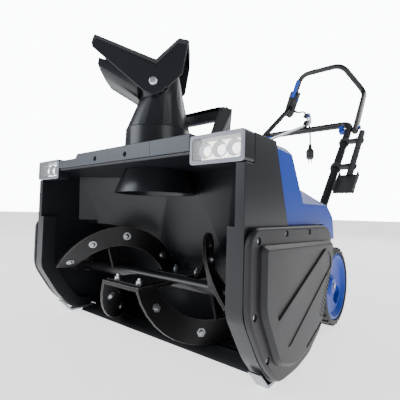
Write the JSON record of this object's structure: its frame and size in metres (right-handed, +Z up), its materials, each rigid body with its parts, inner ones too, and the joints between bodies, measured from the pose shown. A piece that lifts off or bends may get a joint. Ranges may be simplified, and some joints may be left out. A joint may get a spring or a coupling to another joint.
{
  "type": "single stage snowblower",
  "caption": "Walk-behind electric single-stage snowblower with rubber-edged auger, turning crank-driven chute, tilting deflector, folding handle, lights, wheels and clean-out tool.",
  "frame": {"origin": "centre of the footprint on the ground plane, under the middle of the machine without its supply cord", "axes": "+Z up; the mouth of the auger housing faces -Y and the handle stands at +Y; +X is towards the belt cover, which is the operator's right"},
  "size_m": [0.612, 1.2462, 0.946],
  "materials": {
    "black_plastic": "satin moulded black polypropylene",
    "grey_plastic": "satin dark grey nylon",
    "blue_plastic": "satin to gloss royal blue",
    "black_paint": "black powder coat on steel",
    "rubber": "black moulded rubber",
    "tyre": "black tyre compound",
    "zinc": "bright zinc plate",
    "steel": "machined and galvanised steel",
    "clear_lens": "clear polycarbonate",
    "led": "white circuit board with three emitters"
  },
  "bodies": {
    "body": {"auger_housing": "black_plastic", "front_beam": "black_plastic", "light_bezel_left": "black_plastic", "light_bezel_right": "black_plastic", "light_lens_left": "clear_lens", "light_lens_right": "clear_lens", "led_board_left": "led", "led_board_right": "led", "scraper_bar": "grey_plastic", "skid_left": "steel", "skid_right": "steel", "belt_cover_right": "black_plastic", "side_cover_left": "black_plastic", "motor_cover": "blue_plastic", "base_pan": "black_plastic", "motor": "steel", "drive_belt": "rubber", "bearing_left": "steel", "bearing_right": "steel", "chute_throat": "black_plastic", "carry_handle": "grey_plastic", "wheel_axle": "steel", "lower_frame": "black_paint", "crank_bracket": "black_plastic", "tool_clip_lower": "black_plastic", "tool_clip_upper": "black_plastic"},
    "auger": {"auger_shaft": "steel", "auger_frame": "black_paint", "auger_blade_rear": "rubber", "auger_blade_front": "rubber", "auger_pulley": "steel"},
    "motor_drive": {"motor_pulley": "steel"},
    "left_wheel": {"wheel_tyre_left": "tyre", "wheel_hub_left": "blue_plastic"},
    "right_wheel": {"wheel_tyre_right": "tyre", "wheel_hub_right": "blue_plastic"},
    "chute_body": {"chute": "black_plastic", "chute_gear": "grey_plastic"},
    "deflector_body": {"deflector": "black_plastic", "deflector_bolt_near": "zinc", "deflector_bolt_far": "zinc"},
    "crank": {"crank_rod": "zinc", "crank_pinion": "grey_plastic"},
    "crank_grip": {"crank_knob": "blue_plastic"},
    "handle": {"upper_handle": "black_paint", "switch_box_inner": "black_plastic", "switch_box_outer": "black_plastic", "cord_gland": "rubber", "cord": "rubber", "plug": "rubber", "plug_blades": "zinc"},
    "left_fold_knob": {"fold_knob_left": "blue_plastic"},
    "right_fold_knob": {"fold_knob_right": "blue_plastic"},
    "trigger": {"trigger_lever": "blue_plastic"},
    "safety": {"safety_button": "blue_plastic"},
    "lights_rocker": {"light_switch": "grey_plastic"},
    "tool": {"clean_out_tool": "black_plastic"}
  },
  "joints": [
    {"name": "auger_spin", "type": "hinge", "parent": "body", "child": "auger", "pos_m": [0, -0.47959, 0.114], "axis": [1, 0, 0], "continuous": true},
    {"name": "motor_spin", "type": "hinge", "parent": "body", "child": "motor_drive", "pos_m": [0, -0.33359, 0.176], "axis": [1, 0, 0], "continuous": true},
    {"name": "left_wheel_roll", "type": "hinge", "parent": "body", "child": "left_wheel", "pos_m": [0, -0.16259, 0.091], "axis": [1, 0, 0], "continuous": true},
    {"name": "right_wheel_roll", "type": "hinge", "parent": "body", "child": "right_wheel", "pos_m": [0, -0.16259, 0.091], "axis": [1, 0, 0], "continuous": true},
    {"name": "chute_turn", "type": "hinge", "parent": "body", "child": "chute_body", "pos_m": [0, -0.49759, 0.35], "axis": [0, 0, 1], "range_deg": [-39, 141]},
    {"name": "deflector_tilt", "type": "hinge", "parent": "chute_body", "child": "deflector_body", "pos_m": [-0.00311, -0.50011, 0.511], "axis": [-0.6293, 0.7771, 0], "range_deg": [-10, 8]},
    {"name": "crank_turn", "type": "hinge", "parent": "body", "child": "crank", "pos_m": [0, -0.40959, 0.345], "axis": [0, 0.9332, 0.3595], "range_deg": [-1260, 350]},
    {"name": "crank_knob_spin", "type": "hinge", "parent": "crank", "child": "crank_grip", "pos_m": [0, -0.42253, 0.37859], "axis": [0, 0.9332, 0.3595], "continuous": true},
    {"name": "handle_fold", "type": "hinge", "parent": "body", "child": "handle", "pos_m": [0, 0.31141, 0.585], "axis": [1, 0, 0], "range_deg": [0, 130]},
    {"name": "left_fold_knob_turn", "type": "hinge", "parent": "body", "child": "left_fold_knob", "pos_m": [-0.176, 0.31141, 0.585], "axis": [-1, 0, 0], "continuous": true},
    {"name": "right_fold_knob_turn", "type": "hinge", "parent": "body", "child": "right_fold_knob", "pos_m": [0.176, 0.31141, 0.585], "axis": [1, 0, 0], "continuous": true},
    {"name": "trigger_squeeze", "type": "hinge", "parent": "handle", "child": "trigger", "pos_m": [-0.14109, 0.53643, 0.84691], "axis": [0.8669, 0.2329, -0.4407], "range_deg": [-7, 0], "stiffness_Nm_per_rad": 1.2, "springref_deg": 8.59},
    {"name": "safety_press", "type": "slide", "parent": "handle", "child": "safety", "axis": [-0.8669, -0.2329, 0.4407], "range_m": [0, 0.003], "stiffness_N_per_m": 400, "springref_m": -0.002},
    {"name": "light_switch_rock", "type": "hinge", "parent": "handle", "child": "lights_rocker", "pos_m": [-0.14879, 0.57718, 0.81473], "axis": [0, 0.8841, 0.4672], "range_deg": [-3, 3]},
    {"name": "tool_release", "type": "slide", "parent": "body", "child": "tool", "axis": [0, 0.6924, 0.7216], "range_m": [-0.06, 0.03]}
  ],
  "couplings": [
    {"joint": "motor_spin", "follows": "auger_spin", "ratio": 4.1333},
    {"joint": "crank_turn", "follows": "chute_turn", "ratio": -8.9}
  ]
}
